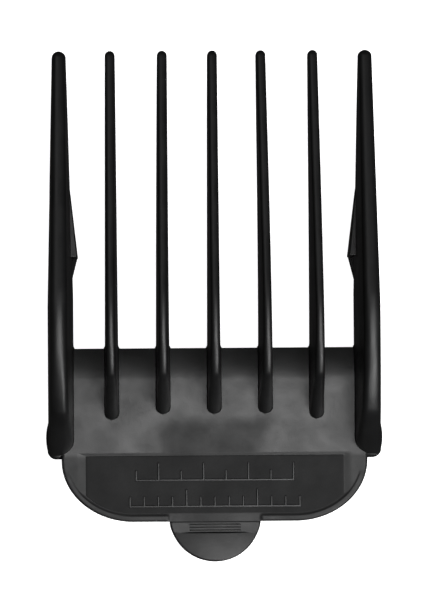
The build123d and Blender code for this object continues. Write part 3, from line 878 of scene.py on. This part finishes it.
def nylon(name, shade, roughness, grain, bump_height, scuffs, specular=0.5, patch=False):
    """Black moulded nylon: fine mould grain, slow waviness, uneven gloss and a few pale scuffs."""
    material = bpy.data.materials.new(name)
    material.use_nodes = True
    nodes, links = material.node_tree.nodes, material.node_tree.links
    shader = nodes["Principled BSDF"]
    shader.inputs["IOR"].default_value = NYLON_IOR
    shader.inputs["Specular IOR Level"].default_value = specular
    where = nodes.new("ShaderNodeTexCoord").outputs["Object"]

    def noise(scale, detail, roughness=0.5):
        made = nodes.new("ShaderNodeTexNoise")
        made.inputs["Scale"].default_value = scale
        made.inputs["Detail"].default_value = detail
        made.inputs["Roughness"].default_value = roughness
        links.new(where, made.inputs["Vector"])
        return made.outputs["Fac"]

    def spread(value, low, high, to_low, to_high):
        made = nodes.new("ShaderNodeMapRange")
        for key, number in (("From Min", low), ("From Max", high), ("To Min", to_low), ("To Max", to_high)):
            made.inputs[key].default_value = number
        links.new(value, made.inputs["Value"])
        return made.outputs["Result"]

    def mix(factor, a, b):
        made = nodes.new("ShaderNodeMix")
        made.data_type = "RGBA"
        links.new(factor, made.inputs["Factor"])
        for key, value in ((6, a), (7, b)):
            if isinstance(value, tuple):
                made.inputs[key].default_value = (*value, 1)
            else:
                links.new(value, made.inputs[key])
        return made.outputs[2]

    # colour: near black, with faint cloudy variation and pale handling scuffs
    dark = tuple(c * 0.8 for c in shade)
    light = tuple(c * 1.25 for c in shade)
    colour = mix(spread(noise(160, 4), 0.35, 0.65, 0, 1), dark, light)
    patches = spread(noise(95, 2), 0.60, 0.72, 0, scuffs)
    specks = spread(noise(2600, 6, 0.7), 0.55, 0.68, 0, 1)
    both = nodes.new("ShaderNodeMath")
    both.operation = "MULTIPLY"
    links.new(patches, both.inputs[0])
    links.new(specks, both.inputs[1])
    colour = mix(both.outputs[0], colour, tuple(c * 3.2 for c in shade))
    links.new(colour, shader.inputs["Base Color"])

    # gloss: uneven from the mould and from handling
    cloudy = CLOUDINESS if patch else 0.0
    gloss = spread(noise(230, 5, 0.6), 0.3, 0.7, roughness - 0.05 - cloudy, roughness + 0.06 + cloudy)
    if patch:
        gloss = rougher_zones(nodes, links, where, gloss)
    links.new(gloss, shader.inputs["Roughness"])

    # grain: fine texture over very slow waviness
    fine = nodes.new("ShaderNodeBump")
    fine.inputs["Strength"].default_value = bump_height
    fine.inputs["Distance"].default_value = 0.00002
    links.new(noise(grain, 3, 0.6), fine.inputs["Height"])
    wavy = nodes.new("ShaderNodeBump")
    wavy.inputs["Strength"].default_value = 0.25
    wavy.inputs["Distance"].default_value = 0.00012
    links.new(noise(420, 2), wavy.inputs["Height"])
    links.new(wavy.outputs["Normal"], fine.inputs["Normal"])
    links.new(fine.outputs["Normal"], shader.inputs["Normal"])
    return material


def rougher_zones(nodes, links, where, gloss):
    """Duller zones of the plate: a cloudy patch behind the teeth, and everything round the panel."""
    parts = nodes.new("ShaderNodeSeparateXYZ")
    links.new(where, parts.inputs[0])
    x, y = parts.outputs["X"], parts.outputs["Y"]

    def combined(operation, a, b):
        made = nodes.new("ShaderNodeMath")
        made.operation = operation
        for socket, value in zip(made.inputs, (a, b)):
            if isinstance(value, float):
                socket.default_value = value
            else:
                links.new(value, socket)
        return made.outputs[0]

    def fade(value, zero_at, one_at):
        made = nodes.new("ShaderNodeMapRange")
        made.interpolation_type = "SMOOTHSTEP"
        made.inputs["From Min"].default_value = zero_at * MM
        made.inputs["From Max"].default_value = one_at * MM
        links.new(value, made.inputs["Value"])
        return made.outputs["Result"]

    def slanted_edge(front_x, rear_x, inward):
        """A fade across an edge of the patch that slants from front_x to rear_x."""
        slant = (front_x - rear_x) / (PATCH_FRONT_Y - PANEL_FRONT_Y)
        across = combined("SUBTRACT", x, combined("MULTIPLY", y, slant))
        edge = front_x - PATCH_FRONT_Y * slant
        return fade(across, edge - inward * PATCH_FADE, edge + inward * PATCH_FADE)

    left = slanted_edge(PATCH_LEFT_FRONT, PATCH_LEFT_REAR, 1)
    patch = combined("MULTIPLY", left, slanted_edge(PATCH_RIGHT_FRONT, PATCH_RIGHT_REAR, -1))
    patch = combined("MULTIPLY", patch, fade(y, PATCH_FRONT_Y, PATCH_FULL_Y))
    rear = combined("MULTIPLY", fade(y, PANEL_FRONT_Y + 0.2, PANEL_FRONT_Y - 0.6), REAR_DULLNESS)
    upper_face = fade(parts.outputs["Z"], SEAT_Z + 0.3, SEAT_Z + 0.7)
    both = combined("MULTIPLY", combined("MAXIMUM", patch, rear), upper_face)
    return combined("ADD", gloss, combined("MULTIPLY", both, PATCH_ROUGHNESS))


# ---------------------------------------------------------------- build

moulded = nylon("moulded_nylon", NYLON_BLACK, roughness=0.42, grain=5200, bump_height=0.5, scuffs=0.5)
plate_nylon = nylon(
    "plate_nylon", NYLON_BLACK, roughness=0.41, grain=5200, bump_height=0.5, scuffs=0.5, patch=True
)
# Duller, less glossy panel finish. On the blade ledges its lower gloss is painted shade: it darkens them as
# the shadow behind the stops would.
panel_finish_and_ledge_shade = nylon(
    "panel_nylon", PANEL_BLACK, roughness=0.66, grain=3600, bump_height=0.9, scuffs=0.15, specular=0.25
)
tab_nylon = nylon("tab_nylon", NYLON_BLACK, roughness=0.5, grain=4400, bump_height=0.6, scuffs=0.3)


def place(obj, material, body="comb"):
    """Give a finished piece its material and the body it moves with."""
    obj.data.materials.clear()
    obj.data.materials.append(material)
    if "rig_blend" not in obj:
        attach(obj, body)


for index in range(1, 6):
    tooth = make_tooth_skin(index)
    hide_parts(f"tooth_{index}")
    place(tooth, moulded)
for side_name, side in (("left", -1), ("right", 1)):
    place(make_arm_skin(side_name, side), moulded)
    place(make_stop_skin(side_name, side), moulded)
    # the ledge takes the duller panel finish as painted shade, for the shadow it lies in behind the stop
    place(make_ledge_skin(side_name, side), panel_finish_and_ledge_shade)
    place(make_ear_skin(side_name, side), moulded)
place(make_plate_skin(), plate_nylon)
place(make_panel_skin(), panel_finish_and_ledge_shade)
place(make_size_marks(), moulded)
place(make_tab_skin(), tab_nylon)
place(make_grip_ribs(), tab_nylon, "latch")
hook = softened("latch_hook", HOOK_ROUND)
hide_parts("latch_hook")
place(hook, tab_nylon, "latch")


# ---------------------------------------------------------------- floor, light and camera

def make_floor():
    """Plain pale floor that turns up far away into a backdrop."""
    turns = np.linspace(0, math.pi / 2, 24)
    rings = [(FLOOR_RADIUS + FLOOR_BEND * math.sin(t), FLOOR_BEND * (1 - math.cos(t))) for t in turns]
    around = 96
    points = [(0, 0, 0)]
    for radius, z in rings:
        for k in range(around):
            turn = 2 * math.pi * k / around
            points.append((radius * math.cos(turn), radius * math.sin(turn), z))
    faces = [(0, 1 + k, 1 + (k + 1) % around) for k in range(around)]
    for i in range(len(rings) - 1):
        for k in range(around):
            a, b = 1 + i * around + k, 1 + i * around + (k + 1) % around
            faces.append((a, a + around, b + around, b))
    floor = mesh_object("floor", points, faces)
    material = bpy.data.materials.new("floor_paint")
    material.use_nodes = True
    nodes, links = material.node_tree.nodes, material.node_tree.links
    shader = nodes["Principled BSDF"]
    shader.inputs["Roughness"].default_value = 0.9
    shader.inputs["Specular IOR Level"].default_value = 0.1
    shader.inputs["Emission Color"].default_value = (1, 1, 1, 1)
    shader.inputs["Emission Strength"].default_value = FLOOR_GLOW
    noise = nodes.new("ShaderNodeTexNoise")
    noise.inputs["Scale"].default_value = 30
    ramp = nodes.new("ShaderNodeMapRange")
    ramp.inputs["To Min"].default_value = 0.88
    ramp.inputs["To Max"].default_value = 0.92
    links.new(noise.outputs["Fac"], ramp.inputs["Value"])
    links.new(ramp.outputs["Result"], shader.inputs["Base Color"])
    floor.data.materials.append(material)
    floor.visible_glossy = False
    floor.visible_diffuse = False
    floor.visible_shadow = False


def area_light(name, place_mm, aim_mm, size_mm, watts):
    """A soft rectangular light aimed at a point."""
    data = bpy.data.lights.new(name, "AREA")
    data.shape = "RECTANGLE"
    data.size, data.size_y = size_mm[0] * MM, size_mm[1] * MM
    data.energy = watts
    light = bpy.data.objects.new(name, data)
    light.location = Vector(place_mm) * MM
    light.rotation_euler = (Vector(aim_mm) - Vector(place_mm)).to_track_quat("-Z", "Y").to_euler()
    bpy.context.scene.collection.objects.link(light)
    return light


def make_camera():
    """Camera almost straight above, as the comb is seen in the product view."""
    distance, focal_pixels, image_height, sensor = 600.0, 4052.0, 600, 36.0
    pitch, yaw, roll = (math.radians(a) for a in (1.94, -1.12, -0.42))
    turn = Matrix.Rotation(yaw, 4, "Y") @ Matrix.Rotation(pitch, 4, "X") @ Matrix.Rotation(roll, 4, "Z")
    target = Vector((0.70, 0.71, 8.0))
    data = bpy.data.cameras.new("camera")
    data.sensor_width = sensor
    data.lens = focal_pixels * sensor / image_height
    data.clip_start, data.clip_end = 0.01, 10
    camera = bpy.data.objects.new("camera", data)
    camera.matrix_world = Matrix.Translation((target + turn @ Vector((0, 0, distance))) * MM) @ turn
    bpy.context.scene.collection.objects.link(camera)
    bpy.context.scene.camera = camera


def make_world(strength):
    """Dim even surroundings."""
    world = bpy.data.worlds.new("world")
    world.use_nodes = True
    world.node_tree.nodes["Background"].inputs["Color"].default_value = (1, 1, 1, 1)
    world.node_tree.nodes["Background"].inputs["Strength"].default_value = strength
    bpy.context.scene.world = world


make_floor()
area_light("overhead", (130, -40, 700), (0, -10, 8), (420, 460), 3.5)
area_light("rear", (360, -510, 530), (0, -10, 8), (480, 400), 4.4)
area_light("front_fill", (-300, 480, 520), (0, 10, 8), (400, 400), 0.35)
make_world(WORLD_LIGHT)
make_camera()
bpy.context.scene.view_settings.view_transform = "Standard"
